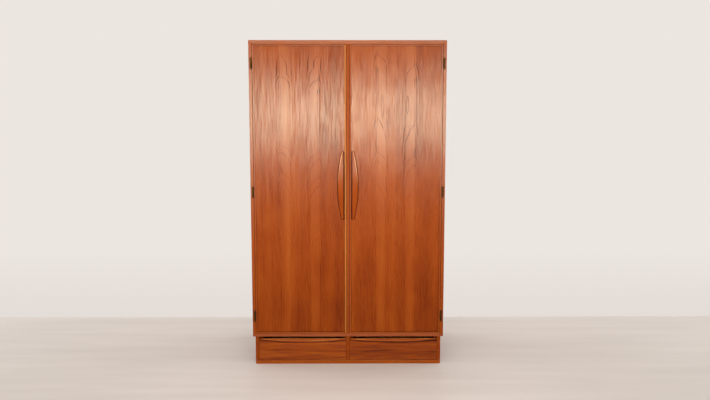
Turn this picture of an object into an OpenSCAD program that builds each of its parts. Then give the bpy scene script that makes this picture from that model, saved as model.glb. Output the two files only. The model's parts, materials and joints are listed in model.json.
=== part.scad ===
// Two-door wardrobe on a plinth with two drawers, veneered and solid teak with brass hinges.
// Millimetres, +Z up, the front faces -Y, origin at the centre of the base.

/* [Carcass] */
// Width across the two side panels
carcass_w = 1070; // [960:10:1200]
// Height from the floor to the top of the carcass
total_h = 1800; // [1700:10:2000]
// Depth of the carcass from its front edge to its back edge
carcass_d = 600; // [540:10:640]
// Thickness of the side panels
side_t = 17; // [16:1:20]
// Thickness of the top panel
top_t = 22; // [18:1:26]
// Thickness of the bottom panel
bottom_t = 18; // [16:1:22]
// Thickness of the centre partition
partition_t = 15; // [15:1:20]
// How far the front edges slope back from their outer to their inner edge
edge_slope = 3; // [2:0.5:4]
// Thickness of the back panels
back_t = 6; // [4:1:8]

/* [Plinth] */
// Height of the plinth
plinth_h = 160; // [150:5:180]
// How far the plinth stands in from the carcass on each side
plinth_inset = 14; // [5:1:25]
// How far the plinth stands back from the front of the carcass
plinth_back_step = 4; // [0:1:10]
// Thickness of the plinth's sides and divider
post_t = 19; // [16:1:22]
// Thickness of the base board
base_t = 21; // [18:1:24]

/* [Doors] */
// Thickness of the doors
door_t = 20; // [18:1:22]
// Gap all round each door
door_gap = 1.8; // [1.5:0.1:2.5]
// Width of the lippings on the upright edges
lipping_w = 8; // [6:1:8]
// Height of the lippings on the top and bottom edges
lipping_h = 5; // [4:1:8]

/* [Hinges] */
// Height of a hinge
hinge_h = 60; // [50:5:80]
// Distance from the door's end to the middle of an end hinge
hinge_end = 100; // [70:5:150]
// Radius of the knuckles
knuckle_r = 5; // [4.5:0.1:5]
// Radius of the hinge pins
pin_r = 2; // [1.5:0.1:2.5]

/* [Handles] */
// Length of a handle
handle_len = 372; // [300:2:420]
// Greatest width of a handle
handle_w = 32; // [28:1:36]
// How far a handle stands in front of the door at its middle
handle_proud = 17; // [15:1:22]
// Height of the handle's middle above the floor
handle_z = 1014; // [900:2:1100]
// Distance from the door's closing edge to the handle's straight side
handle_edge = 15.2; // [14:0.1:20]

/* [Drawers] */
// Gap between the drawer fronts and the carcass above them
drawer_top_gap = 18; // [10:0.5:20]
// Depth of the finger scoop's lip below the front's top edge, at its ends
lip_drop_end = 4.5; // [3:0.5:12]
// Depth of the finger scoop's lip below the front's top edge, at its middle
lip_drop_mid = 18; // [14:0.5:26]
// Length of the drawer boxes behind their fronts
drawer_len = 470; // [400:10:480]

/* [Inside] */
// Thickness of the shelves
shelf_t = 18; // [16:1:22]
// Number of adjustable shelves in the left compartment
shelf_count = 4; // [4]
// Height of the hat shelf's underside above the floor
hat_shelf_z = 1500; // [1400:10:1560]
// Radius of the hanging rail
rail_r = 12.5; // [10:0.5:15]

/* [Hidden] */
$fn = 48;
big_fn = 720;

teak = "#a8602f";
teak_dark = "#8c4a22";
teak_pale = "#d08a4a";
birch = "#d9b98a";
brass = "#8a6a35";
steel = "#9a9a98";
brown_plastic = "#4a2f20";

fit = 0.05;
small_r = 1.5;
large_r = 2;
back_screw_len = 14;
catch_screw_len = 24;
kicker_screw_len = 42;
slide_gap = 0.3;
half_w = carcass_w / 2;
inner_x = half_w - side_t;
inner_bottom = plinth_h + bottom_t;
inner_top = total_h - top_t;
proud_y = handle_proud - edge_slope;
front_y = -(carcass_d - proud_y) / 2;

rebate_w = 9;
rebate_d = back_t + 1;
back_y = carcass_d - rebate_d;

door_y = edge_slope;
door_rear = door_y + door_t;
door_out = inner_x - door_gap;
door_in = partition_t / 2 + door_gap;
door_low = inner_bottom + door_gap;
door_high = inner_top - door_gap;

leaf_t = 1.5;
leaf_end = 24;
hinge_x = inner_x + knuckle_r - 0.5;
hinge_y = -1.5;
hinge_zs = [door_low + hinge_end, (door_low + door_high) / 2, door_high - hinge_end];
leaf_screw_zs = [-hinge_h / 3, 0, hinge_h / 3];
frame_screw_len = 12;
door_screw_len = 18;

pocket_d = 6;
pocket_y = door_y + pocket_d;
pocket_margin = 3.5;
pocket_overrun = 0.5;
grip_w = handle_edge - lipping_w + pocket_overrun;
handle_x = door_in + handle_edge;
handle_h = handle_proud + pocket_d;
handle_nose = 4.5;
handle_round = 9;
crown_drop = 9;
handle_screw_z = 110;
handle_screw_x = 15;
handle_screw_len = 30;
grip_r = 9;

plinth_x = half_w - plinth_inset;
plinth_y = plinth_back_step;
plinth_rear = carcass_d - 12;
post_in = plinth_x - post_t;
divider_x = post_t / 2;

drawer_gap = 1;
drawer_out = post_in - drawer_gap;
drawer_in = divider_x + drawer_gap;
drawer_mid = (drawer_out + drawer_in) / 2;
drawer_low = base_t + 2;
drawer_high = plinth_h - drawer_top_gap;
drawer_front_t = 24;
drawer_rear = plinth_y + drawer_front_t;
drawer_end = drawer_rear + drawer_len;
drawer_side_t = 10;
drawer_side_low = base_t + 0.6;
drawer_side_high = plinth_h - 30;
drawer_bottom_z = base_t + 9;
drawer_bottom_t = 4;
lip_t = 5;
groove_d = 8;
scoop_tilt = 55;
kicker_w = 15;
stop_h = 8;

shelf_front = door_rear + 22;
shelf_side_gap = 0.8;
shelf_step = (inner_top - inner_bottom) / (shelf_count + 1);
stud_r = 2.5;
stud_hole = 6.5;
stud_ys = [shelf_front + 40, back_y - 60];
rail_z = hat_shelf_z - 60;
rail_y = carcass_d / 2;
socket_floor = 2;
socket_h = 12;
socket_flange_r = 24;
socket_flange_t = 3;
socket_screw_len = 11;
socket_cup_r = rail_r + 3.5;
catch_x = [20, 70];
catch_d = 15;
catch_h = 13;
strike_t = 1.2;

// Working frame: y = 0 is the carcass's front plane and y grows towards the back.
module placed() {
    translate([0, front_y, 0]) children();
}

module block(lo, hi) {
    translate(lo) cube(hi - lo);
}

// A flat (x, z) outline made solid from y0 to y1.
module along_y(y0, y1) {
    translate([0, y1, 0]) rotate([90, 0, 0]) linear_extrude(y1 - y0) children();
}

// A flat (y, z) outline made solid from x0 to x1.
module along_x(x0, x1) {
    translate([x0, 0, 0]) rotate([90, 0, 90]) linear_extrude(x1 - x0) children();
}

// Everything on the left is drawn once and mirrored for the right.
module side_of(is_right) {
    if (is_right)
        mirror([1, 0, 0]) children();
    else
        children();
}

// Countersunk slotted screw, its head flush at z = 0 and its point towards -z.
module screw(length, shank_r = 1.6) {
    head_r = shank_r * 2;
    difference() {
        rotate_extrude() polygon([[0, 0], [head_r, 0], [shank_r, -shank_r],
            [shank_r, 2 - length], [0.4, -length], [0, -length]]);
        block([-head_r - 1, -0.4, -0.7], [head_r + 1, 0.4, 1]);
    }
}

// The hole that a screw of the same size fits.
module screw_hole(length, shank_r = 1.6) {
    head_r = shank_r * 2 + fit;
    rotate_extrude() polygon([[0, 1], [head_r, 1], [head_r, 0], [shank_r + fit, -shank_r],
        [shank_r + fit, -length - 0.5], [0, -length - 0.5]]);
}

// ---- carcass ----

// Left side panel, mitred at both ends and sloped along its front edge.
module side_blank() {
    intersection() {
        along_y(0, carcass_d) polygon([[-half_w, plinth_h], [-inner_x, inner_bottom],
            [-inner_x, inner_top], [-half_w, total_h]]);
        linear_extrude(total_h) polygon([[-half_w, 0], [-inner_x, edge_slope],
            [-inner_x, carcass_d], [-half_w, carcass_d]]);
    }
}

module side_panel() {
    difference() {
        side_blank();
        block([-inner_x - rebate_w, back_y, 0], [-inner_x + 1, carcass_d + 1, total_h]);
        frame_leaf_seats();
        frame_leaf_screw_places() screw_hole(frame_screw_len);
        back_screw_places() screw_hole(back_screw_len, small_r);
        children();
    }
}

module left_side() {
    color(teak) placed() side_panel() stud_holes(-inner_x, 180, left_stud_zs);
}

module right_side() {
    color(teak) placed() mirror([1, 0, 0]) side_panel() {
        union() {
            stud_holes(-inner_x, 180, [hat_shelf_z - stud_r]);
            translate([-inner_x, rail_y, rail_z]) rotate([0, 90, 0])
                socket_screw_places() screw_hole(socket_screw_len, small_r);
        }
    }
}

// Top or bottom panel between the mitres: outer_z is its outside face, inner_z its inside face.
module level_panel(outer_z, inner_z) {
    rebate_z = inner_z > outer_z ? [inner_z - rebate_w, inner_z + 1] : [inner_z - 1, inner_z + rebate_w];
    difference() {
        intersection() {
            along_y(0, carcass_d) polygon([[-half_w, outer_z], [half_w, outer_z],
                [inner_x, inner_z], [-inner_x, inner_z]]);
            along_x(-half_w, half_w) polygon([[0, outer_z], [edge_slope, inner_z],
                [carcass_d, inner_z], [carcass_d, outer_z]]);
        }
        block([-inner_x - rebate_w, back_y, rebate_z[0]], [inner_x + rebate_w, carcass_d + 1, rebate_z[1]]);
        for (is_right = [false, true])
            side_of(is_right) back_screw_places() screw_hole(back_screw_len, small_r);
        children();
    }
}

module top_panel() {
    color(teak) placed() level_panel(total_h, inner_top) {
        for (is_right = [false, true])
            side_of(is_right) catch_screw_places() screw_hole(catch_screw_len, small_r);
    }
}

module bottom_panel() {
    color(teak) placed() level_panel(plinth_h, inner_bottom)
        kicker_screw_places() screw_hole(kicker_screw_len, large_r);
}

module partition() {
    color(teak) placed() difference() {
        block([-partition_t / 2, edge_slope, inner_bottom], [partition_t / 2, back_y, inner_top]);
        stud_holes(-partition_t / 2, 0, left_stud_zs);
        stud_holes(partition_t / 2, 180, [hat_shelf_z - stud_r]);
        translate([partition_t / 2, rail_y, rail_z]) rotate([0, 90, 0])
            socket_screw_places() screw_hole(socket_screw_len, small_r);
        for (is_right = [false, true])
            side_of(is_right) back_screw_places() screw_hole(back_screw_len, small_r);
    }
}

// ---- back panels ----

module back_blank() {
    lap = rebate_w - 0.5;
    block([-inner_x - lap, back_y, inner_bottom - lap], [-0.5, back_y + back_t, inner_top + lap]);
}

// Screws round the left back panel, heads towards +y.
module back_screw_places() {
    edge = rebate_w / 2;
    column_zs = [for (i = [0:4]) inner_bottom + 40 + i * (inner_top - inner_bottom - 80) / 4];
    places = concat(
        [for (x = [-inner_x - edge, -edge + 0.5], z = column_zs) [x, z]],
        [for (x = [-inner_x * 2 / 3, -inner_x / 3], z = [inner_bottom - edge, inner_top + edge]) [x, z]]);
    for (p = places)
        translate([p[0], back_y + back_t, p[1]]) rotate([-90, 0, 0]) children();
}

module back_panel() {
    difference() {
        back_blank();
        back_screw_places() screw_hole(back_screw_len, small_r);
    }
}

module left_back() {
    color(birch) placed() back_panel();
}

module right_back() {
    color(birch) placed() mirror([1, 0, 0]) back_panel();
}

module back_screws() {
    color(steel) placed() {
        for (is_right = [false, true])
            side_of(is_right) back_screw_places() screw(back_screw_len, small_r);
    }
}

// ---- inside fittings ----

function shelf_z(i) = inner_bottom + i * shelf_step;
left_stud_zs = [for (i = [1:shelf_count], row = [-1:1]) shelf_z(i) - stud_r + row * 32];

// Blind stud holes in the face at x, drilled towards -x when turn is 180.
module stud_holes(x, turn, zs) {
    for (z = zs, y = stud_ys)
        translate([x, y, z]) rotate([0, turn == 180 ? -90 : 90, 0])
            translate([0, 0, -1]) cylinder(r = stud_r + fit, h = stud_hole + 1);
}

// Brass stud with a collar, its axis along +z and the wood's face at z = 0.
module stud() {
    translate([0, 0, 0.5 - stud_hole]) cylinder(r = stud_r, h = stud_hole + 8);
    cylinder(r = stud_r + 1.5, h = 1.2);
}

module studs_for(x0, x1, z) {
    for (y = stud_ys) {
        translate([x0, y, z - stud_r]) rotate([0, 90, 0]) stud();
        translate([x1, y, z - stud_r]) rotate([0, -90, 0]) stud();
    }
}

// Shelf between x0 and x1 with cut-outs for the four stud collars.
module shelf(x0, x1, z) {
    difference() {
        block([x0 + shelf_side_gap, shelf_front, z], [x1 - shelf_side_gap, back_y - 2, z + shelf_t]);
        for (y = stud_ys, x = [x0, x1])
            translate([x, y, z - stud_r]) rotate([0, 90, 0])
                cylinder(r = stud_r + 1.8, h = 3, center = true);
    }
}

module left_shelf(i) {
    color(teak) placed() shelf(-inner_x, -partition_t / 2, shelf_z(i));
}

module shelf_1() {
    left_shelf(1);
}

module shelf_2() {
    left_shelf(2);
}

module shelf_3() {
    left_shelf(3);
}

module shelf_4() {
    left_shelf(4);
}

module hat_shelf() {
    color(teak) placed() shelf(partition_t / 2, inner_x, hat_shelf_z);
}

module shelf_pins() {
    color(brass) placed() {
        for (i = [1:shelf_count])
            studs_for(-inner_x, -partition_t / 2, shelf_z(i));
        studs_for(partition_t / 2, inner_x, hat_shelf_z);
    }
}

module hanging_rail() {
    end_gap = socket_floor + 0.4;
    color(brass) placed() translate([partition_t / 2 + end_gap, rail_y, rail_z]) rotate([0, 90, 0])
        difference() {
            length = inner_x - partition_t / 2 - 2 * end_gap;
            cylinder(r = rail_r, h = length);
            translate([0, 0, -1]) cylinder(r = rail_r - 1.5, h = length + 2);
        }
}

// Two screws through the socket's flange, heads at the flange's face.
module socket_screw_places() {
    for (side = [-1, 1])
        translate([0, side * (socket_cup_r + socket_flange_r) / 2, socket_flange_t]) children();
}

// Cup that holds one end of the rail, its axis along +z and the wood's face at z = 0.
module rail_socket() {
    difference() {
        union() {
            cylinder(r = socket_flange_r, h = socket_flange_t);
            cylinder(r = socket_cup_r, h = socket_h);
        }
        translate([0, 0, socket_floor]) cylinder(r = rail_r + fit, h = socket_h);
        socket_screw_places() screw_hole(socket_screw_len, small_r);
    }
}

module both_sockets() {
    translate([partition_t / 2, rail_y, rail_z]) rotate([0, 90, 0]) children();
    translate([inner_x, rail_y, rail_z]) rotate([0, -90, 0]) children();
}

module rail_sockets() {
    color(brass) placed() both_sockets() rail_socket();
}

module rail_socket_screws() {
    color(brass) placed() both_sockets() socket_screw_places() screw(socket_screw_len, small_r);
}

// ---- plinth ----

module plinth_base() {
    color(teak) placed() block([-plinth_x, plinth_y, 0], [plinth_x, plinth_rear, base_t]);
}

module plinth_left() {
    color(teak) placed() block([-plinth_x, plinth_y, base_t], [-post_in, plinth_rear, plinth_h]);
}

module plinth_right() {
    color(teak) placed() block([post_in, plinth_y, base_t], [plinth_x, plinth_rear, plinth_h]);
}

module plinth_divider() {
    color(teak) placed() block([-divider_x, plinth_y, base_t], [divider_x, plinth_rear - post_t, plinth_h]);
}

module plinth_back() {
    color(teak) placed() block([-post_in, plinth_rear - post_t, base_t], [post_in, plinth_rear, plinth_h]);
}

// Strips above the drawer sides that keep an open drawer level.
module drawer_kickers() {
    color(birch) placed() difference() {
        for (side = [-1, 1], x = [post_in - kicker_w, divider_x])
            block([min(side * x, side * (x + kicker_w)), drawer_rear + 20, drawer_side_high + 1],
                [max(side * x, side * (x + kicker_w)), plinth_rear - post_t, plinth_h]);
        kicker_screw_places() screw_hole(kicker_screw_len, large_r);
    }
}

// Screws up through the kickers into the bottom panel, heads downwards.
module kicker_screw_places() {
    for (side = [-1, 1], x = [post_in - kicker_w / 2, divider_x + kicker_w / 2], y = [120, 480])
        translate([side * x, y, drawer_side_high + 1]) rotate([180, 0, 0]) children();
}

module kicker_screws() {
    color(steel) placed() kicker_screw_places() screw(kicker_screw_len, large_r);
}

// Blocks on the base board that stop each front flush with the plinth.
module drawer_stops() {
    stop_w = 40;
    stop_y = drawer_rear + 0.4;
    color(birch) placed() {
        for (side = [-1, 1], offset = [-150, 150]) {
            x = side * drawer_mid + offset;
            block([x - stop_w / 2, stop_y, base_t], [x + stop_w / 2, stop_y + 20, base_t + stop_h]);
        }
    }
}

// ---- hinges ----

// Left hinge places, origin on the pin's axis at mid height.
module left_hinge_places() {
    for (z = hinge_zs)
        translate([-hinge_x, hinge_y, z]) children();
}

// Recesses for the knuckles and the frame leaves in the left side panel.
module frame_leaf_seats() {
    left_hinge_places() {
        cylinder(r = knuckle_r + slide_gap, h = hinge_h + 2 * slide_gap, center = true);
        block([hinge_x - inner_x - leaf_t, 0, -hinge_h / 2],
            [hinge_x - inner_x + 1, leaf_end + door_y - hinge_y, hinge_h / 2]);
    }
}

module frame_leaf_screw_places() {
    for (z = hinge_zs, i = [0:2])
        translate([-inner_x, door_y + 10 + 6 * (i % 2), z + leaf_screw_zs[i]])
            rotate([0, 90, 0]) children();
}

module door_leaf_screw_places() {
    for (z = hinge_zs, i = [0:2])
        translate([-door_out, door_y + 7 + 6 * (i % 2), z + leaf_screw_zs[i]])
            rotate([0, -90, 0]) children();
}

module knuckle(z0, z1, bore_r) {
    translate([0, 0, z0]) difference() {
        cylinder(r = knuckle_r, h = z1 - z0);
        translate([0, 0, -1]) cylinder(r = bore_r, h = z1 - z0 + 2);
    }
}

// Fixed leaves let into the left side panel, each with the lower knuckle.
module frame_leaves() {
    half_h = hinge_h / 2;
    x0 = hinge_x - inner_x - leaf_t;
    front = door_y - hinge_y + 0.2;
    back = door_y - hinge_y + leaf_end;
    difference() {
        left_hinge_places() {
            knuckle(-half_h, -slide_gap / 2, pin_r + 0.01);
            block([x0, front, -half_h], [x0 + leaf_t, back, half_h]);
            block([x0, 1.5, -half_h], [x0 + leaf_t, front + 1, -slide_gap / 2]);
        }
        frame_leaf_screw_places() screw_hole(frame_screw_len);
    }
}

// Moving leaves let into the left door's edge, each with the upper knuckle.
module door_leaves() {
    half_h = hinge_h / 2;
    x0 = hinge_x - door_out;
    front = door_y - hinge_y;
    difference() {
        left_hinge_places() {
            knuckle(slide_gap / 2, half_h, pin_r + fit);
            block([x0, front, -half_h], [x0 + leaf_t, front + door_t - 2, half_h]);
            block([x0, 1, slide_gap / 2], [x0 + leaf_t, front + 1, half_h]);
            block([knuckle_r - 1.5, 1, slide_gap / 2], [x0 + leaf_t, 2.7, half_h]);
        }
        door_leaf_screw_places() screw_hole(door_screw_len);
    }
}

module left_frame_leaves() {
    color(brass) placed() frame_leaves();
}

module right_frame_leaves() {
    color(brass) placed() mirror([1, 0, 0]) frame_leaves();
}

module hinge_pins() {
    color(brass) placed() {
        for (is_right = [false, true])
            side_of(is_right) left_hinge_places() cylinder(r = pin_r, h = hinge_h, center = true);
    }
}

module frame_leaf_screws() {
    color(brass) placed() {
        for (is_right = [false, true])
            side_of(is_right) frame_leaf_screw_places() screw(frame_screw_len);
    }
}

module left_door_leaves() {
    color(brass) placed() door_leaves();
}

module right_door_leaves() {
    color(brass) placed() mirror([1, 0, 0]) door_leaves();
}

module left_leaf_screws() {
    color(brass) placed() door_leaf_screw_places() screw(door_screw_len);
}

module right_leaf_screws() {
    color(brass) placed() mirror([1, 0, 0]) door_leaf_screw_places() screw(door_screw_len);
}

// ---- catches ----

module catch_screw_places() {
    for (x = [catch_x[0] + 6, catch_x[1] - 6])
        translate([-x, door_rear + 2 + catch_d / 2, inner_top - catch_h]) rotate([180, 0, 0]) children();
}

module pole_places() {
    for (z = [inner_top - catch_h + 2, inner_top - 4])
        translate([-catch_x[1] + 12, door_rear + strike_t + 0.4, z]) children();
}

module catch_housing() {
    difference() {
        block([-catch_x[1], door_rear + 2, inner_top - catch_h],
            [-catch_x[0], door_rear + 2 + catch_d, inner_top]);
        catch_screw_places() screw_hole(catch_screw_len, small_r);
        pole_places() block([0, 0, 0], [26, 12, 1.5]);
    }
}

module catch_housings() {
    color(brown_plastic) placed() {
        for (is_right = [false, true])
            side_of(is_right) catch_housing();
    }
}

module catch_poles() {
    color(steel) placed() {
        for (is_right = [false, true])
            side_of(is_right) pole_places() block([0, 0, 0], [26, 12, 1.5]);
    }
}

module catch_screws() {
    color(brass) placed() {
        for (is_right = [false, true])
            side_of(is_right) catch_screw_places() screw(catch_screw_len, small_r);
    }
}

module strike_screw_places() {
    for (x = [catch_x[0] + 10, catch_x[1] - 10])
        translate([-x, door_rear + strike_t, inner_top - 8]) rotate([-90, 0, 0]) children();
}

// Steel plate and its screws behind the left door's top corner.
module strike_plate() {
    difference() {
        block([-catch_x[1] + 5, door_rear, inner_top - catch_h - 1],
            [-catch_x[0] - 5, door_rear + strike_t, inner_top - 3]);
        strike_screw_places() translate([0, 0, -5]) cylinder(r = 1, h = 6);
    }
}

module left_strike_plate() {
    color(steel) placed() strike_plate();
}

module right_strike_plate() {
    color(steel) placed() mirror([1, 0, 0]) strike_plate();
}

// ---- handles ----

// Local frame of the left handle: x from the straight side outwards, y up the door, z forwards.
module handle_place() {
    translate([-handle_x, pocket_y, handle_z]) mirror([1, 0, 0]) rotate([90, 0, 0]) children();
}

// Radius of the arc that meets round noses of radius r at the ends of a half leaf.
function leaf_arc_r(half_len, width, r) =
    (pow(half_len - r, 2) + pow(width - r, 2) - r * r) / (2 * (width - 2 * r));

// Half-leaf outline with its straight side on x = 0.
module half_leaf(half_len, width, r) {
    arc_r = leaf_arc_r(half_len, width, r);
    nose_y = half_len - r;
    intersection() {
        translate([width - arc_r, 0]) circle(arc_r, $fn = big_fn);
        translate([0, -nose_y]) square([width, 2 * nose_y]);
    }
    for (side = [-1, 1])
        translate([r, side * nose_y]) circle(r);
}

// Cross-section of the rounded outer rim, with the arc's centre at x = 0.
module rim_section(arc_r) {
    translate([arc_r - handle_w - 2, 0]) square([handle_w + 2, handle_h - handle_round]);
    translate([arc_r - handle_w - 2, 0]) square([handle_w + 2 - handle_round, handle_h]);
    translate([arc_r - handle_round, handle_h - handle_round]) circle(handle_round);
}

// Finger room: a round-ended groove behind the handle's straight side.
module finger_cove() {
    run = handle_len / 2 - 50;
    translate([-1, 0, grip_r]) {
        rotate([90, 0, 0]) cylinder(r = grip_r, h = 2 * run, center = true);
        for (side = [-1, 1])
            translate([0, side * run, 0]) sphere(r = grip_r);
    }
}

module handle_screw_places() {
    for (side = [-1, 1])
        translate([-handle_x - handle_screw_x, door_rear, handle_z + side * handle_screw_z])
            rotate([-90, 0, 0]) children();
}

module handle() {
    arc_r = leaf_arc_r(handle_len / 2, handle_w, handle_nose);
    crown_r = (pow(handle_len / 2, 2) + pow(crown_drop, 2)) / (2 * crown_drop);
    difference() {
        handle_place() difference() {
            intersection() {
                linear_extrude(handle_h) half_leaf(handle_len / 2, handle_w, handle_nose);
                translate([handle_w - arc_r, 0, 0]) rotate_extrude($fn = big_fn) rim_section(arc_r);
                translate([0, 0, handle_h - crown_r]) rotate([0, 90, 0])
                    cylinder(r = crown_r, h = 3 * handle_w, center = true, $fn = big_fn);
            }
            finger_cove();
        }
        handle_screw_places() screw_hole(handle_screw_len, large_r);
    }
}

module left_handle() {
    color(teak_dark) placed() handle();
}

module right_handle() {
    color(teak_dark) placed() mirror([1, 0, 0]) handle();
}

module left_handle_screws() {
    color(brass) placed() handle_screw_places() screw(handle_screw_len, large_r);
}

module right_handle_screws() {
    color(brass) placed() mirror([1, 0, 0]) handle_screw_places() screw(handle_screw_len, large_r);
}

// ---- doors ----

// The handle's outline with a margin all round, stretched to the closing lipping for the fingers.
module pocket_outline() {
    half_len = handle_len / 2 + pocket_margin;
    nose_r = handle_nose + pocket_margin;
    nose_x = nose_r - grip_w;
    nose_y = half_len - nose_r;
    translate([-pocket_margin, 0]) half_leaf(half_len, handle_w + 2 * pocket_margin, nose_r);
    translate([nose_x, -half_len]) square([handle_nose - nose_x, 2 * half_len]);
    translate([-grip_w, -nose_y]) square([grip_w + handle_nose, 2 * nose_y]);
    for (side = [-1, 1])
        translate([nose_x, side * nose_y]) circle(nose_r);
}

// Shallow pocket round the handle's foot.
module handle_pocket() {
    handle_place() linear_extrude(pocket_d + 1) pocket_outline();
}

module door_panel() {
    x0 = -door_out + lipping_w;
    x1 = -door_in - lipping_w;
    difference() {
        block([x0, door_y, door_low + lipping_h], [x1, door_rear, door_high - lipping_h]);
        handle_pocket();
        handle_screw_places() screw_hole(handle_screw_len, large_r);
        door_leaf_screw_places() screw_hole(door_screw_len);
    }
}

// Solid strips round the door's edges, mitred at the corners.
module upright_lipping(edge_x, inner_edge_x) {
    along_y(door_y, door_rear) polygon([[edge_x, door_low], [edge_x, door_high],
        [inner_edge_x, door_high - lipping_h], [inner_edge_x, door_low + lipping_h]]);
}

module level_lipping(edge_z, inner_edge_z) {
    along_y(door_y, door_rear) polygon([[-door_out, edge_z], [-door_in, edge_z],
        [-door_in - lipping_w, inner_edge_z], [-door_out + lipping_w, inner_edge_z]]);
}

module hinge_lipping() {
    difference() {
        upright_lipping(-door_out, -door_out + lipping_w);
        for (z = hinge_zs)
            block([-door_out - 1, door_y - 1, z - hinge_h / 2],
                [-door_out + leaf_t, door_y + door_t - 2, z + hinge_h / 2]);
        door_leaf_screw_places() screw_hole(door_screw_len);
    }
}

module end_lippings() {
    level_lipping(door_low, door_low + lipping_h);
    level_lipping(door_high, door_high - lipping_h);
}

module left_door_panel() {
    color(teak) placed() door_panel();
}

module right_door_panel() {
    color(teak) placed() mirror([1, 0, 0]) door_panel();
}

module left_hinge_lipping() {
    color(teak_dark) placed() hinge_lipping();
}

module right_hinge_lipping() {
    color(teak_dark) placed() mirror([1, 0, 0]) hinge_lipping();
}

module left_end_lippings() {
    color(teak_dark) placed() end_lippings();
}

module right_end_lippings() {
    color(teak_dark) placed() mirror([1, 0, 0]) end_lippings();
}

module left_closing_lipping() {
    color(teak_pale) placed() upright_lipping(-door_in, -door_in - lipping_w);
}

module right_closing_lipping() {
    color(teak_dark) placed() mirror([1, 0, 0]) upright_lipping(-door_in, -door_in - lipping_w);
}

// ---- drawers ----

// Space above the scoop's curved lip and the slope behind it, over the left drawer.
module scoop() {
    half_len = (drawer_out - drawer_in) / 2;
    sag = lip_drop_mid - lip_drop_end;
    lip_r = (half_len * half_len + sag * sag) / (2 * sag);
    slope_r = lip_r / cos(scoop_tilt);
    lip_z = drawer_high - lip_drop_mid;
    lip_y = plinth_y + lip_t;
    along_y(plinth_y - 1, lip_y + 0.01) translate([-drawer_mid, lip_z + lip_r])
        circle(lip_r, $fn = big_fn);
    intersection() {
        block([-drawer_out - 1, lip_y, 0], [-drawer_in + 1, drawer_rear + 1, drawer_high + 1]);
        translate([-drawer_mid, lip_y, lip_z - groove_d]) rotate([scoop_tilt, 0, 0])
            translate([0, 0, slope_r]) rotate([90, 0, 0])
                cylinder(r = slope_r, h = 400, center = true, $fn = big_fn);
    }
}

module drawer_front() {
    difference() {
        block([-drawer_out, plinth_y, drawer_low], [-drawer_in, drawer_rear, drawer_high]);
        scoop();
    }
}

module drawer_sides() {
    for (x = [-drawer_out + 1, -drawer_in - 1 - drawer_side_t])
        block([x, drawer_rear, drawer_side_low], [x + drawer_side_t, drawer_end, drawer_side_high]);
}

module drawer_back() {
    block([-drawer_out + 1 + drawer_side_t, drawer_end - drawer_side_t, drawer_bottom_z + drawer_bottom_t],
        [-drawer_in - 1 - drawer_side_t, drawer_end, drawer_side_high - 8]);
}

module drawer_bottom() {
    block([-drawer_out + 1 + drawer_side_t, drawer_rear, drawer_bottom_z],
        [-drawer_in - 1 - drawer_side_t, drawer_end, drawer_bottom_z + drawer_bottom_t]);
}

module left_drawer_front() {
    color(teak) placed() drawer_front();
}

module left_drawer_sides() {
    color(birch) placed() drawer_sides();
}

module left_drawer_back() {
    color(birch) placed() drawer_back();
}

module left_drawer_bottom() {
    color(birch) placed() drawer_bottom();
}

module right_drawer_front() {
    color(teak_dark) placed() mirror([1, 0, 0]) drawer_front();
}

module right_drawer_sides() {
    color(birch) placed() mirror([1, 0, 0]) drawer_sides();
}

module right_drawer_back() {
    color(birch) placed() mirror([1, 0, 0]) drawer_back();
}

module right_drawer_bottom() {
    color(birch) placed() mirror([1, 0, 0]) drawer_bottom();
}

left_side();
right_side();
top_panel();
bottom_panel();
partition();
left_back();
right_back();
back_screws();
shelf_1();
shelf_2();
shelf_3();
shelf_4();
hat_shelf();
shelf_pins();
hanging_rail();
rail_sockets();
rail_socket_screws();
plinth_base();
plinth_left();
plinth_right();
plinth_divider();
plinth_back();
drawer_kickers();
kicker_screws();
drawer_stops();
left_frame_leaves();
right_frame_leaves();
hinge_pins();
frame_leaf_screws();
catch_housings();
catch_poles();
catch_screws();
left_door_panel();
left_hinge_lipping();
left_end_lippings();
left_closing_lipping();
left_handle();
left_handle_screws();
left_door_leaves();
left_leaf_screws();
left_strike_plate();
right_door_panel();
right_hinge_lipping();
right_end_lippings();
right_closing_lipping();
right_handle();
right_handle_screws();
right_door_leaves();
right_leaf_screws();
right_strike_plate();
left_drawer_front();
left_drawer_sides();
left_drawer_back();
left_drawer_bottom();
right_drawer_front();
right_drawer_sides();
right_drawer_back();
right_drawer_bottom();
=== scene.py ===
# %% [markdown]
# # A teak wardrobe with book-matched doors
# The wardrobe stands on a plinth with two drawers. Its joinery, hinges and handles come from the
# CAD model, which is loaded as a fixed frame. This lesson gives the wood its softened edges, the
# handles their hand-rounded shape, and every part a finish built only from nodes.

# %% Load the frame
import json
import math

import bpy
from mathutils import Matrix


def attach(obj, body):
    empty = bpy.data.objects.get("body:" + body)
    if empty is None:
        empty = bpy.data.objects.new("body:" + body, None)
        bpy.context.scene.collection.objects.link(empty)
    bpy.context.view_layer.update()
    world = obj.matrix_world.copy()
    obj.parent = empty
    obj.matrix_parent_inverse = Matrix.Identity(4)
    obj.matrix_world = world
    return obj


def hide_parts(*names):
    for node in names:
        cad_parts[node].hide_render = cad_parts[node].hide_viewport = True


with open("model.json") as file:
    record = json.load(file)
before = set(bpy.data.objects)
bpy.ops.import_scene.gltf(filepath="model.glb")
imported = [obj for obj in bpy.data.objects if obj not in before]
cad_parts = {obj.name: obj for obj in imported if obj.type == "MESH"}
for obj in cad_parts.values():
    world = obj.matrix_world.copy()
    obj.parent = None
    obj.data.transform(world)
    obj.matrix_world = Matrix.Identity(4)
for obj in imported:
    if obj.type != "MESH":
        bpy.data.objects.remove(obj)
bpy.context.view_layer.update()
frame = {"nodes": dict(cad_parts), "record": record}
nodes = frame["nodes"]
slot_of = {part["node"]: part["material_slot"] for part in frame["record"]["subparts"]}
body_of = {
    node: body
    for body, members in frame["record"]["behaviour"]["bodies"].items()
    for node in members
}

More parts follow.
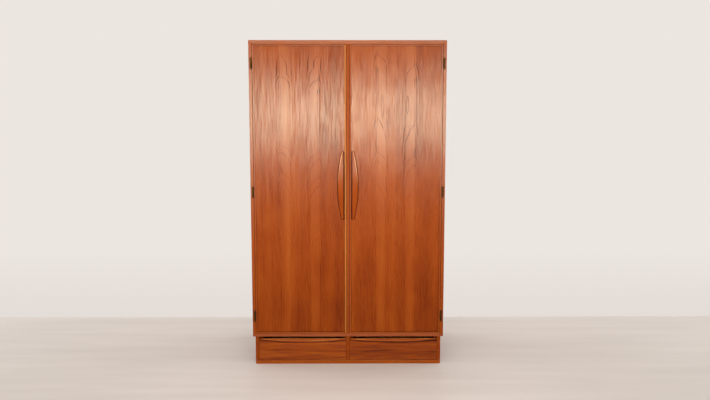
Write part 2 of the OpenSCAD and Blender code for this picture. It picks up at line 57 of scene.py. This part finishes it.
# %% [markdown]
# ## Camera
# The wardrobe is seen from straight in front, from a little above its middle and looking slightly
# down. A lens of about 37 mm on a 36 mm sensor gives that calm, nearly flat view.

# %% Camera
bpy.ops.object.select_all(action="DESELECT")
bpy.ops.object.camera_add(
    location=(0.016, -4.342, 1.423),
    rotation=(math.radians(83.12), 0, math.radians(-0.33)),
)
camera = bpy.context.object
camera.data.sensor_width = 36
camera.data.lens = 37.52
bpy.context.scene.camera = camera
print("camera at", tuple(round(v, 3) for v in camera.location))

# %% [markdown]
# ## Arithmetic on sockets
# A finish is mostly arithmetic on positions. Written as Math nodes one by one it is hard to read,
# so `Term` wraps a socket and lets Python operators add the nodes. Every other node comes from
# `Recipe.add`, which sets a node's settings first and then its sockets.

# %% Term and Recipe
class Term:
    """A socket whose arithmetic adds Math nodes to its recipe."""

    def __init__(self, recipe, socket):
        self.recipe = recipe
        self.socket = socket

    def math(self, operation, *values):
        sockets = dict(enumerate(values))
        return self.recipe.add("Math", {"operation": operation}, sockets)

    def __add__(self, other):
        return self.math("ADD", self, other)

    def __radd__(self, other):
        return self.math("ADD", other, self)

    def __sub__(self, other):
        return self.math("SUBTRACT", self, other)

    def __rsub__(self, other):
        return self.math("SUBTRACT", other, self)

    def __mul__(self, other):
        return self.math("MULTIPLY", self, other)

    def __rmul__(self, other):
        return self.math("MULTIPLY", other, self)

    def __truediv__(self, other):
        return self.math("DIVIDE", self, other)

    def __abs__(self):
        return self.math("ABSOLUTE", self)

    def fraction(self):
        return self.math("FRACT", self)

    def above(self, least):
        return self.math("MAXIMUM", self, least)

    def below(self, most):
        return self.math("MINIMUM", self, most)

    def rise(self, low, high):
        """0 up to low, 1 from high on, and a smooth climb between them."""
        return self.recipe.add(
            "MapRange", {"interpolation_type": "SMOOTHSTEP"}, {0: self, 1: low, 2: high}
        )


class Recipe:
    """The node tree of one finish."""

    def __init__(self, name):
        self.material = bpy.data.materials.new(name)
        self.material.use_nodes = True
        self.tree = self.material.node_tree
        self.tree.nodes.clear()

    def add(self, kind, settings=None, sockets=None, output=0):
        node = self.tree.nodes.new("ShaderNode" + kind)
        settings = dict(settings or {})
        stops = settings.pop("stops", None)
        for key, value in settings.items():
            setattr(node, key, value)
        if stops:
            while len(node.color_ramp.elements) < len(stops):
                node.color_ramp.elements.new(1)
            for element, (place, colour) in zip(node.color_ramp.elements, stops):
                element.position = place
                element.color = (*colour, 1)
        for key, value in (sockets or {}).items():
            if isinstance(value, Term):
                self.tree.links.new(value.socket, node.inputs[key])
            else:
                node.inputs[key].default_value = value
        return Term(self, node.outputs[output])

    def finish(self, surface):
        self.add_output(surface)
        return self.material

    def add_output(self, surface):
        node = self.tree.nodes.new("ShaderNodeOutputMaterial")
        self.tree.links.new(surface.socket, node.inputs["Surface"])


# %% [markdown]
# ## Measures for the finishes
# Grain is easiest to think of in millimetres. `place` gives a point of the piece in millimetres,
# and `grain` gives noise that is stretched along a direction, which is what wood fibres look like.

# %% Place and grain
def place(recipe):
    """The point in millimetres, as a vector and as its three numbers."""
    point = recipe.add("TexCoord", output="Object")
    vector = recipe.add("VectorMath", {"operation": "SCALE"}, {0: point, 3: 1000})
    split = recipe.add("SeparateXYZ", None, {0: vector})
    outputs = split.socket.node.outputs
    return vector, [Term(recipe, outputs[i]) for i in range(3)]


def grain(recipe, vector, size, shift=0, detail=2):
    """Noise with blotches of the given size in millimetres along x, y and z."""
    scale = [1 / length for length in size]
    point = recipe.add(
        "VectorMath", {"operation": "MULTIPLY_ADD"}, {0: vector, 1: scale, 2: [shift] * 3}
    )
    return recipe.add("TexNoise", None, {"Vector": point, "Scale": 1, "Detail": detail})


def lengthwise(axis, across, along):
    """Blotch size for grain that runs along axis 0, 1 or 2."""
    size = [across] * 3
    size[axis] = along
    return size


# %% [markdown]
# ## Teak
# Oiled teak is a deep orange brown with fine, open pores. Its colour moves between a dark late-wood
# line and a golden heart, so one ramp of five colours serves every teak part. The pores catch a
# little shadow in the bump and are a little rougher than the oiled wood around them.

# %% Teak surface
TEAK_STOPS = [
    (0.0, (0.060, 0.010, 0.002)),
    (0.3, (0.235, 0.034, 0.005)),
    (0.55, (0.385, 0.066, 0.007)),
    (0.8, (0.48, 0.106, 0.014)),
    (1.0, (0.60, 0.19, 0.042)),
]


def teak_surface(recipe, tone, pores, open_grain, oil=0.2):
    """A teak shader for a tone from 0, dark, to 1, pale. oil is the roughness of the oiled film."""
    colour = recipe.add("ValToRGB", {"stops": TEAK_STOPS}, {0: tone})
    relief = 0.5 - open_grain * 0.15 - pores * 0.6
    bump = recipe.add(
        "Bump", None, {"Strength": 0.3, "Distance": 0.0002, "Height": relief}
    )
    film = 1 - open_grain * 0.62 - pores * 0.2
    shader = recipe.add(
        "BsdfPrincipled",
        None,
        {"Base Color": colour, "Roughness": 0.55 + pores * 0.2, "Normal": bump,
         "Coat Weight": film, "Coat Roughness": oil, "Specular IOR Level": 0.0},
    )
    return shader


def pore_lines(recipe, vector, axis, shift=0, width=1.3, length=26):
    """Short dark pores along the grain, 0 between them and 1 inside them."""
    fine = grain(recipe, vector, lengthwise(axis, width, length), shift + 11.3, 1)
    return fine.rise(0.56, 0.72)


def straight_teak(name, axis, shift, light=0.0, contrast=0.6, oil=0.24, dry=0.0):
    """Quarter-sawn teak: straight bands and pores along one axis. dry thins the oiled film."""
    recipe = Recipe(name)
    vector, _ = place(recipe)
    bands = grain(recipe, vector, lengthwise(axis, 34, 900), shift, 1) - 0.5
    streaks = grain(recipe, vector, lengthwise(axis, 6.5, 160), shift + 3.7, 2) - 0.5
    fibres = grain(recipe, vector, lengthwise(axis, 1.8, 70), shift + 7.9, 1) - 0.5
    pores = pore_lines(recipe, vector, axis, shift)
    open_grain = (streaks + fibres * 0.6).rise(0.02, 0.2).above(dry)
    swing = bands * 0.5 + streaks * 0.75 + fibres * 0.45
    tone = 0.56 + light + swing * contrast - pores * 0.13
    return recipe.finish(teak_surface(recipe, tone, pores, open_grain, oil))


teak_upright = straight_teak("teak_upright", 2, 2.0)
teak_level = straight_teak("teak_level", 0, 5.0, light=0.1)
teak_top = straight_teak("teak_top", 0, 29.0, light=0.03, contrast=0.5, dry=0.45)
teak_deep = straight_teak("teak_deep", 1, 9.0, light=-0.08, dry=0.8)
teak_worn = straight_teak("teak_worn", 0, 13.0, light=-0.04, oil=0.45, dry=0.9)
# The partition's recessed front edge gets a darker copy of the upright teak. Its light of -0.03 is
# painted shade.
teak_shaded = straight_teak("teak_shaded", 2, 21.0, light=-0.03, contrast=0.4, oil=0.5, dry=1.1)
teak_edge = straight_teak("teak_edge", 2, 25.0, light=0.08, contrast=0.5, oil=0.45, dry=1.0)
print("teak finishes:", teak_upright.name, teak_level.name, teak_deep.name)

# %% [markdown]
# ## Book-matched veneer
# Each door is faced with two leaves cut one after the other from the same log and opened like a
# book, so the figure on one side of the middle seam is nearly the mirror of the other side. A leaf
# has a plain golden heart between two dark lines. Where the log tapered the lines close over the
# heart in pointed arches. The lines are the contours of one height map: distance from the heart's
# outer edge, minus a climb that grows down the door. An arch stands wherever the climb steps up.

# %% Book-matched figure
DOOR_MIDDLE = 262.75
HEART_OUTER = 101
HEART_WIDTH = 47


def climb(down, steps):
    """Sum of steps that start steeply and level out, each a (start, length, height)."""
    total = 0
    for start, length, height in steps:
        reach = ((down - start) / length).above(0).below(1)
        total = reach * (2 - reach) * height + total
    return total


def swell(down, steps):
    """Sum of smooth changes, each a (start, length, height)."""
    total = 0
    for start, length, height in steps:
        total = down.rise(start, start + length) * height + total
    return total


def book_matched(name, middle, top, steps, marks, islands, shift):
    """Door veneer. steps and marks hold one list for each leaf, islands hold (out, down, tall)."""
    recipe = Recipe(name)
    vector, (x, y, z) = place(recipe)
    wander = grain(recipe, vector, (90, 90, 170), shift, 1) - 0.5
    ripple = grain(recipe, vector, (18, 18, 48), shift + 4, 3) - 0.5
    across = x - middle
    leaf = across.rise(-0.4, 0.4)
    down = top - z
    outward = abs(across) - HEART_OUTER + wander * 12 + ripple * 3
    outer = outward.above(0)
    inner = (0 - outward).above(0)
    rise_out = outer * 0.16 - (outer - 6).above(0) * 0.1
    rise_in = inner / HEART_WIDTH + (inner - HEART_WIDTH).above(0) * 0.045
    steep = rise_out + rise_in
    contour = recipe.add("Math", {"operation": "SQRT"}, {0: steep * steep + 0.03}) - 0.17
    in_heart = outward.rise(-HEART_WIDTH - 1, -HEART_WIDTH + 1) - outward.rise(-1, 1)
    spacing = 14 + in_heart * (HEART_WIDTH - 14)
    drift = down + ripple * 10
    climbs = [climb(drift, leaf_steps) for leaf_steps in steps]
    height = climbs[0] + (climbs[1] - climbs[0]) * leaf
    phase = (contour - height).fraction()
    fading = 1 - ((1 - phase) * spacing).rise(0, 5)
    crisp = 1 - (phase * spacing).rise(0, 1.4)
    line = fading.above(crisp)
    strengths = [swell(down, leaf_marks) for leaf_marks in marks]
    strength = strengths[0] + (strengths[1] - strengths[0]) * leaf
    near = 1 - contour.rise(1.1, 2.4)
    heart = 1 - contour.rise(0.5, 1.15)
    broken = grain(recipe, vector, (16, 16, 90), shift + 5.5, 1).rise(0.36, 0.58)
    line = line * (0.07 + near * strength) * (0.4 + broken * 0.6)

    for out, level, half_height in islands:
        wide = abs(across - out + ripple * 4)
        tall = (down - level) / half_height
        belly = (1 - tall * tall) * 7.5
        edge = 1 - abs(wide - belly).rise(0.6, 3.2)
        line = line.above(edge * 0.4 * belly.rise(-2, 0))

    bands = grain(recipe, vector, (46, 46, 1500), shift + 1.3, 1) - 0.5
    streaks = grain(recipe, vector, (5, 5, 110), shift + 2.9, 3) - 0.5
    fibres = grain(recipe, vector, (2.2, 2.2, 45), shift + 6.1, 1) - 0.5
    cloud = grain(recipe, vector, (120, 120, 260), shift + 8.8, 1) - 0.5
    pores = pore_lines(recipe, vector, 2, shift) * (1 - heart * 0.6)
    dashes = grain(recipe, vector, (1.9, 1.9, 95), shift + 9.4, 3).rise(0.43, 0.6)
    open_grain = (dashes * (1.15 - heart * 0.55) + line * 1.3).below(1.1)
    swing = streaks * 0.24 + fibres * 0.18 - dashes * 0.1
    tone = 0.61 + swing * (1 - heart * 0.4) + bands * 0.32 + cloud * 0.3
    # The leaf term paints the right leaf of each door darker. This is a painted difference in sheen
    # between the two book-matched leaves.
    tone = tone + heart * 0.07 - line * 0.74 - pores * 0.1 - leaf * 0.07
    # Painted shade: the veneer is painted darker towards the bottom of the door, where less light
    # falls.
    tone = tone - 0.06 + down.rise(1600, 900) * 0.06
    # A dark line along the veneer's edges next to the lippings: the glue line, widened with painted
    # shade at the door's edges.
    sideways = (abs(x) - 17.3).below(508.2 - abs(x))
    glue_line_and_shade = 1 - sideways.below(z - 187.8).below(top - 7.6 - z).rise(1, 4.5)
    tone = tone - glue_line_and_shade * 0.24
    # Painted shade: the routed recess round each handle is painted darker in the veneer's colour,
    # and its oil film is thinned.
    pocket_shade = y.rise(-289.4, -288.6) - y.rise(-277, -275)
    tone = tone - pocket_shade * 0.36
    open_grain = open_grain.above(pocket_shade)
    return recipe.finish(teak_surface(recipe, tone, pores, open_grain, 0.2))


# %% Door veneers
left_veneer = book_matched(
    "left_door_veneer",
    -DOOR_MIDDLE,
    1776,
    steps=[
        [(60, 60, 0.6), (160, 60, 1.4), (540, 130, 2), (690, 160, 2), (1000, 150, 2)],
        [(60, 40, 0.4), (126, 64, 0.6), (186, 60, 1), (580, 130, 2), (720, 160, 2), (1010, 150, 2)],
    ],
    marks=[
        [(20, 130, 0.9), (215, 40, -0.68), (500, 60, 0.12), (680, 200, -0.22)],
        [(20, 100, 0.95), (240, 40, -0.7), (540, 60, 0.12), (720, 200, -0.24)],
    ],
    islands=[],
    shift=1.7,
)
right_veneer = book_matched(
    "right_door_veneer",
    DOOR_MIDDLE,
    1776,
    steps=[
        [(55, 70, 1), (395, 170, 1), (580, 160, 2), (760, 160, 1), (1000, 150, 2)],
        [(110, 80, 1), (428, 150, 1), (600, 170, 2), (780, 160, 1), (1020, 150, 2)],
    ],
    marks=[
        [(10, 60, 0.7), (130, 60, -0.4), (380, 30, 0.35), (540, 160, -0.5)],
        [(60, 60, 0.7), (180, 60, -0.4), (410, 30, 0.35), (560, 160, -0.5)],
    ],
    islands=[(-74, 330, 62), (62, 322, 48)],
    shift=23.4,
)
print("veneers:", left_veneer.name, right_veneer.name)

# %% [markdown]
# ## Other finishes
# The left closing lipping was planed from a paler board. The drawer boxes and back panels are
# lacquered birch, the hinges old brass, the screws and catch plates dull steel, and the catches
# moulded brown plastic.

# %% Handles
HANDLE_MIDDLE = 1014
HANDLE_SIDE = 56.5
HANDLE_ARC = 732.1


def handle_teak(name, shift):
    """A dry, orange face, and a painted highlight: the outer rim is painted pale above the middle.
    """
    recipe = Recipe(name)
    vector, (x, y, z) = place(recipe)
    streaks = grain(recipe, vector, (6, 6, 160), shift, 2) - 0.5
    fibres = grain(recipe, vector, (1.8, 1.8, 70), shift + 7.9, 1) - 0.5
    pores = pore_lines(recipe, vector, 2, shift)
    across = abs(x) + (HANDLE_ARC - HANDLE_SIDE)
    up = z - HANDLE_MIDDLE
    radius = recipe.add("Math", {"operation": "SQRT"}, {0: across * across + up * up})
    inside = HANDLE_ARC - radius
    rim = inside.rise(0, 1) - inside.rise(4, 7)
    # Painted highlight: the outer rim is painted paler, with more oil film, above the handle's
    # middle.
    painted_rim_highlight = rim * up.rise(-40, 60)
    open_grain = 1.1 - painted_rim_highlight
    tone = 0.54 + streaks * 0.3 + fibres * 0.25 - pores * 0.1 + painted_rim_highlight * 0.5
    return recipe.finish(teak_surface(recipe, tone, pores, open_grain, 0.2))


teak_handle = handle_teak("teak_handle", 17.0)

# %% Drawer fronts
LIP_MIDDLE = 124
LIP_RISE = 13.5
DRAWER_MIDDLE = 255.75
DRAWER_HALF = 245.25


def drawer_teak(name, shift, light):
    """Level grain in strong streaks, with painted shade in the groove behind the scoop's curved lip
    and painted light on the rising face above it.
    """
    recipe = Recipe(name)
    vector, (x, y, z) = place(recipe)
    bands = grain(recipe, vector, (700, 26, 26), shift, 2) - 0.5
    streaks = grain(recipe, vector, (190, 5, 5), shift + 3.7, 3) - 0.5
    fibres = grain(recipe, vector, (70, 1.8, 1.8), shift + 7.9, 1) - 0.5
    pores = pore_lines(recipe, vector, 0, shift)
    sideways = (abs(x) - DRAWER_MIDDLE) / DRAWER_HALF
    over_lip = z - sideways * sideways * LIP_RISE - LIP_MIDDLE
    # Painted shade: a dark line in the groove just behind the scoop's curved lip.
    groove_shade = 1 - abs(over_lip + 0.5).rise(1, 4.5)
    # Painted light: the upward-facing face of the scoop above the lip is painted paler.
    painted_slope_light = over_lip.rise(0, 2)
    open_grain = (streaks + fibres * 0.6).rise(-0.05, 0.15).above(groove_shade)
    swing = bands * 0.6 + streaks * 0.9 + fibres * 0.4
    tone = 0.53 + light + swing * 1.4 - pores * 0.13 - groove_shade * 0.34 + painted_slope_light * 0.28
    return recipe.finish(teak_surface(recipe, tone, pores, open_grain, 0.3))


left_drawer_teak = drawer_teak("left_drawer_teak", 31.0, -0.02)
right_drawer_teak = drawer_teak("right_drawer_teak", 37.0, -0.07)

# %% Pale lipping, birch, metals and plastic
def pale_lipping(name):
    recipe = Recipe(name)
    vector, _ = place(recipe)
    streaks = grain(recipe, vector, (4, 4, 140), 3, 2) - 0.5
    pores = pore_lines(recipe, vector, 2, 5)
    tone = 0.5 + streaks * 0.9 - pores * 0.12
    stops = [(0.0, (0.40, 0.09, 0.012)), (0.5, (0.60, 0.19, 0.033)), (1.0, (0.72, 0.29, 0.07))]
    colour = recipe.add("ValToRGB", {"stops": stops}, {0: tone})
    bump = recipe.add("Bump", None, {"Strength": 0.3, "Distance": 0.0002, "Height": 1 - pores})
    sockets = {"Base Color": colour, "Roughness": 0.4 + pores * 0.2, "Normal": bump,
               "Specular IOR Level": 0.15}
    return recipe.finish(recipe.add("BsdfPrincipled", None, sockets))


def birch(name, axis, shift):
    recipe = Recipe(name)
    vector, _ = place(recipe)
    bands = grain(recipe, vector, lengthwise(axis, 30, 500), shift, 2) - 0.5
    flecks = grain(recipe, vector, lengthwise(axis, 1.6, 18), shift + 5, 2)
    tone = 0.55 + bands * 0.8 - flecks.rise(0.55, 0.75) * 0.25
    stops = [(0.0, (0.36, 0.21, 0.10)), (0.55, (0.60, 0.42, 0.24)), (1.0, (0.74, 0.58, 0.38))]
    colour = recipe.add("ValToRGB", {"stops": stops}, {0: tone})
    bump = recipe.add("Bump", None, {"Strength": 0.2, "Distance": 0.0001, "Height": tone})
    sockets = {"Base Color": colour, "Roughness": 0.5 + bands * 0.2, "Normal": bump}
    return recipe.finish(recipe.add("BsdfPrincipled", None, sockets))


def metal(name, dark, light, rough):
    recipe = Recipe(name)
    vector, _ = place(recipe)
    stain = grain(recipe, vector, (6, 6, 6), 2, 4)
    brushed = grain(recipe, vector, (0.5, 0.5, 14), 8, 1)
    stops = [(0.3, dark), (0.7, light)]
    colour = recipe.add("ValToRGB", {"stops": stops}, {0: stain * 0.7 + brushed * 0.3})
    bump = recipe.add("Bump", None, {"Strength": 0.15, "Distance": 0.0001, "Height": brushed})
    roughness = rough + (0.5 - stain) * 0.35
    sockets = {"Base Color": colour, "Metallic": 1.0, "Roughness": roughness, "Normal": bump}
    return recipe.finish(recipe.add("BsdfPrincipled", None, sockets))


def moulded_plastic(name):
    recipe = Recipe(name)
    vector, _ = place(recipe)
    spark = grain(recipe, vector, (0.6, 0.6, 0.6), 1, 2)
    stops = [(0.3, (0.035, 0.017, 0.01)), (0.8, (0.075, 0.04, 0.025))]
    colour = recipe.add("ValToRGB", {"stops": stops}, {0: spark})
    bump = recipe.add("Bump", None, {"Strength": 0.3, "Distance": 0.0001, "Height": spark})
    sockets = {"Base Color": colour, "Roughness": 0.45 + spark * 0.2, "Normal": bump}
    return recipe.finish(recipe.add("BsdfPrincipled", None, sockets))


pale_teak = pale_lipping("pale_teak")
birch_upright = birch("birch_upright", 2, 1.0)
birch_deep = birch("birch_deep", 1, 4.0)
birch_level = birch("birch_level", 0, 7.0)
old_brass = metal("old_brass", (0.08, 0.03, 0.011), (0.26, 0.11, 0.04), 0.55)
dull_steel = metal("dull_steel", (0.22, 0.21, 0.20), (0.5, 0.49, 0.47), 0.4)
brown_plastic = moulded_plastic("brown_plastic")

# %% [markdown]
# ## Which finish goes where
# Grain follows the way a joiner would lay each board: upright on the sides and doors, from side to
# side on the top, shelves and drawer fronts, and front to back on the drawer sides.

# %% Finish of each node
finish_of_slot = {
    "teak_veneer": teak_upright,
    "teak_solid": teak_upright,
    "teak_pale": pale_teak,
    "birch": birch_upright,
    "brass": old_brass,
    "steel": dull_steel,
    "brown_plastic": brown_plastic,
}
finish_of = {node: finish_of_slot[slot] for node, slot in slot_of.items()}
finish_of["left_door_panel"] = left_veneer
finish_of["right_door_panel"] = right_veneer
for node in nodes:
    if node.startswith(("top_", "bottom_", "shelf_", "hat_", "plinth_base", "plinth_back")):
        if slot_of[node] == "teak_veneer":
            finish_of[node] = teak_level
    if node.endswith("end_lippings"):
        finish_of[node] = teak_level
    if node.endswith("_handle"):
        finish_of[node] = teak_handle
    if node.endswith(("drawer_back", "drawer_bottom")):
        finish_of[node] = birch_level
    if node.endswith("drawer_sides"):
        finish_of[node] = birch_deep
    if node.startswith("drawer_"):
        finish_of[node] = teak_deep
for node in ("plinth_left", "plinth_right", "plinth_divider"):
    finish_of[node] = teak_deep
finish_of["top_panel"] = teak_top
finish_of["bottom_panel"] = teak_worn
finish_of["partition"] = teak_shaded
finish_of["right_closing_lipping"] = teak_edge
finish_of["left_drawer_front"] = left_drawer_teak
finish_of["right_drawer_front"] = right_drawer_teak
for node, mesh_object in nodes.items():
    for material_slot in mesh_object.material_slots:
        material_slot.material = finish_of[node]
print("finishes:", len(set(m.name for m in finish_of.values())))

# %% [markdown]
# ## Softened boards
# A joiner takes the sharp corner off every board with a plane and sandpaper, and that thin rounded
# edge is what catches the light. A CAD solid has perfectly sharp edges, so each board is copied, its
# loose triangles are merged back into flat faces, its long edges are bevelled, and the copy stands
# in for the CAD node.

# %% Soften a board
def select_only(piece):
    bpy.ops.object.select_all(action="DESELECT")
    piece.select_set(True)
    bpy.context.view_layer.objects.active = piece


def copy_of(node):
    """A merged copy of a CAD node's mesh, as a new piece."""
    source = nodes[node]
    piece = bpy.data.objects.new(node + "_wood", source.data.copy())
    bpy.context.scene.collection.objects.link(piece)
    select_only(piece)
    bpy.ops.object.mode_set(mode="EDIT")
    bpy.ops.mesh.select_all(action="SELECT")
    bpy.ops.mesh.remove_doubles(threshold=0.000002)
    bpy.ops.mesh.dissolve_limited(angle_limit=math.radians(0.3))
    bpy.ops.mesh.customdata_custom_splitnormals_clear()
    bpy.ops.mesh.select_all(action="DESELECT")
    bpy.ops.object.mode_set(mode="OBJECT")
    return piece


def long_sharp_edges(piece, least_length):
    """Selects the edges between faces that meet at more than 25 degrees."""
    mesh = piece.data
    faces_at = {}
    for face in mesh.polygons:
        for key in face.edge_keys:
            faces_at.setdefault(key, []).append(face.normal)
    picked = 0
    for edge in mesh.edges:
        normals = faces_at.get(edge.key, [])
        a, b = (mesh.vertices[i].co for i in edge.vertices)
        long_enough = (a - b).length >= least_length
        edge.select = long_enough and len(normals) == 2 and normals[0].angle(normals[1]) > 0.44
        picked += edge.select
    return picked


def stand_in(piece, node):
    """The piece rides with the node's body and is seen in its place."""
    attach(piece, body_of[node])
    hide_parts(node)
    piece.data.materials.clear()
    piece.data.materials.append(finish_of[node])


def soften(node, radius, least_length=0.018):
    piece = copy_of(node)
    picked = long_sharp_edges(piece, least_length)
    bpy.ops.object.mode_set(mode="EDIT")
    bpy.ops.mesh.select_mode(type="EDGE")
    bpy.ops.mesh.bevel(offset=radius, segments=2, affect="EDGES", clamp_overlap=False)
    bpy.ops.object.mode_set(mode="OBJECT")
    bpy.ops.object.shade_smooth_by_angle(angle=math.radians(40))
    bpy.ops.object.modifier_add(type="WEIGHTED_NORMAL")
    piece.modifiers[-1].keep_sharp = True
    bpy.ops.object.modifier_apply(modifier=piece.modifiers[-1].name)
    stand_in(piece, node)
    print(node, "edges softened:", picked, "faces:", len(piece.data.polygons))
    return piece


# %% Boards of the carcass, plinth, doors and drawers
softened = {
    "left_side": 0.0008, "right_side": 0.0008, "top_panel": 0.0008, "bottom_panel": 0.0008,
    "partition": 0.0006, "shelf_1": 0.0006, "shelf_2": 0.0006, "shelf_3": 0.0006,
    "shelf_4": 0.0006, "hat_shelf": 0.0006, "plinth_base": 0.0008, "plinth_left": 0.0006,
    "plinth_right": 0.0006, "plinth_divider": 0.0006, "plinth_back": 0.0006,
}
for side in ("left", "right"):
    softened[side + "_hinge_lipping"] = 0.0005
    softened[side + "_closing_lipping"] = 0.0005
    softened[side + "_drawer_front"] = 0.0004
    softened[side + "_drawer_sides"] = 0.0005
    softened[side + "_drawer_back"] = 0.0005
for node, radius in softened.items():
    soften(node, radius)

# %% [markdown]
# ## Handles
# The handles are the wardrobe's signature: long half-leaf grips, sawn from solid teak and rounded
# by hand, with a groove behind the straight side for the fingertips. The CAD solid has the right
# curves but hard meeting lines. A remesh wraps it in an even skin and a few rounds of smoothing
# wear the meeting lines down, as a rasp and sandpaper would.

# %% Round a handle
def rounded_handle(node):
    piece = copy_of(node)
    remesh = piece.modifiers.new("skin", "REMESH")
    remesh.mode = "VOXEL"
    remesh.voxel_size = 0.001
    bpy.ops.object.modifier_apply(modifier=remesh.name)
    smooth = piece.modifiers.new("sandpaper", "SMOOTH")
    smooth.factor = 0.5
    smooth.iterations = 6
    bpy.ops.object.modifier_apply(modifier=smooth.name)
    bpy.ops.object.shade_smooth()
    stand_in(piece, node)
    print(node, "faces:", len(piece.data.polygons))
    return piece


for side in ("left", "right"):
    rounded_handle(side + "_handle")

# %% [markdown]
# ## Floor and light
# A pale floor runs up to a line behind the wardrobe. Beyond it the floor glows as a backdrop in the
# studio's colour, with painted shade that darkens it near the line. A broad soft box behind the
# camera gives the doors their slow sheen, and soft light from above brightens the top.

# %% Floor
STUDIO = (0.84, 0.79, 0.745)


def studio_floor():
    recipe = Recipe("studio_floor")
    vector, (x, y, z) = place(recipe)
    mottle = grain(recipe, vector, (900, 120, 100), 1, 2)
    stops = [(0.3, (0.72, 0.665, 0.635)), (0.7, (0.78, 0.72, 0.69))]
    colour = recipe.add("ValToRGB", {"stops": stops}, {0: mottle})
    boards = recipe.add(
        "BsdfPrincipled", None, {"Base Color": colour, "Roughness": 0.6, "Specular IOR Level": 0.1}
    )
    far_off = recipe.add("Math", {"operation": "SQRT"}, {0: x * x + y * y}).rise(3600, 6500)
    # Beyond the line the floor glows as a backdrop. It is darker near the line as painted shade and
    # takes the studio's colour far off.
    backdrop_glow = recipe.add(
        "ValToRGB",
        {"stops": [(0, (0.775, 0.72, 0.68)), (1, STUDIO)]},
        {0: y.rise(300, 3500).above(far_off)},
    )
    beyond = recipe.add("Emission", None, {"Color": backdrop_glow, "Strength": 1})
    edge = y.rise(664, 670).above(far_off)
    return recipe.finish(recipe.add("MixShader", None, {0: edge, 1: boards, 2: beyond}))


bpy.ops.object.select_all(action="DESELECT")
bpy.ops.mesh.primitive_plane_add(size=60, location=(0, 0, 0))
floor = bpy.context.object
floor.name = "floor"
floor.data.materials.append(studio_floor())
floor.visible_glossy = False
floor.visible_diffuse = False

# %% World
world = bpy.data.worlds.new("studio")
bpy.context.scene.world = world
world.use_nodes = True
tree = world.node_tree
tree.nodes.clear()
rays = tree.nodes.new("ShaderNodeLightPath")
seen = tree.nodes.new("ShaderNodeBackground")
seen.inputs["Color"].default_value = (*STUDIO, 1)
ambient = tree.nodes.new("ShaderNodeBackground")
ambient.inputs["Color"].default_value = (0.12, 0.115, 0.11, 1)
mirrored = tree.nodes.new("ShaderNodeBackground")
mirrored.inputs["Color"].default_value = (0.08, 0.06, 0.03, 1)
glossy_mix = tree.nodes.new("ShaderNodeMixShader")
camera_mix = tree.nodes.new("ShaderNodeMixShader")
output = tree.nodes.new("ShaderNodeOutputWorld")
tree.links.new(rays.outputs["Is Glossy Ray"], glossy_mix.inputs[0])
tree.links.new(ambient.outputs[0], glossy_mix.inputs[1])
tree.links.new(mirrored.outputs[0], glossy_mix.inputs[2])
tree.links.new(rays.outputs["Is Camera Ray"], camera_mix.inputs[0])
tree.links.new(glossy_mix.outputs[0], camera_mix.inputs[1])
tree.links.new(seen.outputs[0], camera_mix.inputs[2])
tree.links.new(camera_mix.outputs[0], output.inputs["Surface"])


# %% Lights
def soft_box(name, place_at, turned, wide, tall, power, warmth):
    bpy.ops.object.light_add(type="AREA", location=place_at, rotation=turned)
    light = bpy.context.object
    light.name = name
    light.data.shape = "RECTANGLE"
    light.data.size = wide
    light.data.size_y = tall
    light.data.energy = power
    light.data.color = warmth
    light.visible_camera = False
    return light


soft_box("window", (0, -6.5, 1.38), (math.radians(90), 0, 0), 5.2, 0.7, 212, (1, 1, 0.74))
fill = soft_box("fill", (0, -1.55, 1.3), (math.radians(90), 0, 0), 2.0, 0.6, 12.5, (1, 0.90, 0.88))
fill.visible_glossy = False
for side in (-1, 1):
    turned = (math.radians(70), 0, math.radians(90 * side))
    soft_box("side", (4.5 * side, 0.5, 2.4), turned, 5, 3.4, 110, (1, 0.97, 0.94))
soft_box("behind", (0, 5, 2.6), (math.radians(-65), 0, 0), 3, 2, 80, (1, 0.97, 0.94))
soft_box("ceiling", (0, 0.4, 4.2), (0, 0, 0), 4, 3, 60, (1, 0.97, 0.94))
bpy.context.scene.view_settings.view_transform = "Standard"
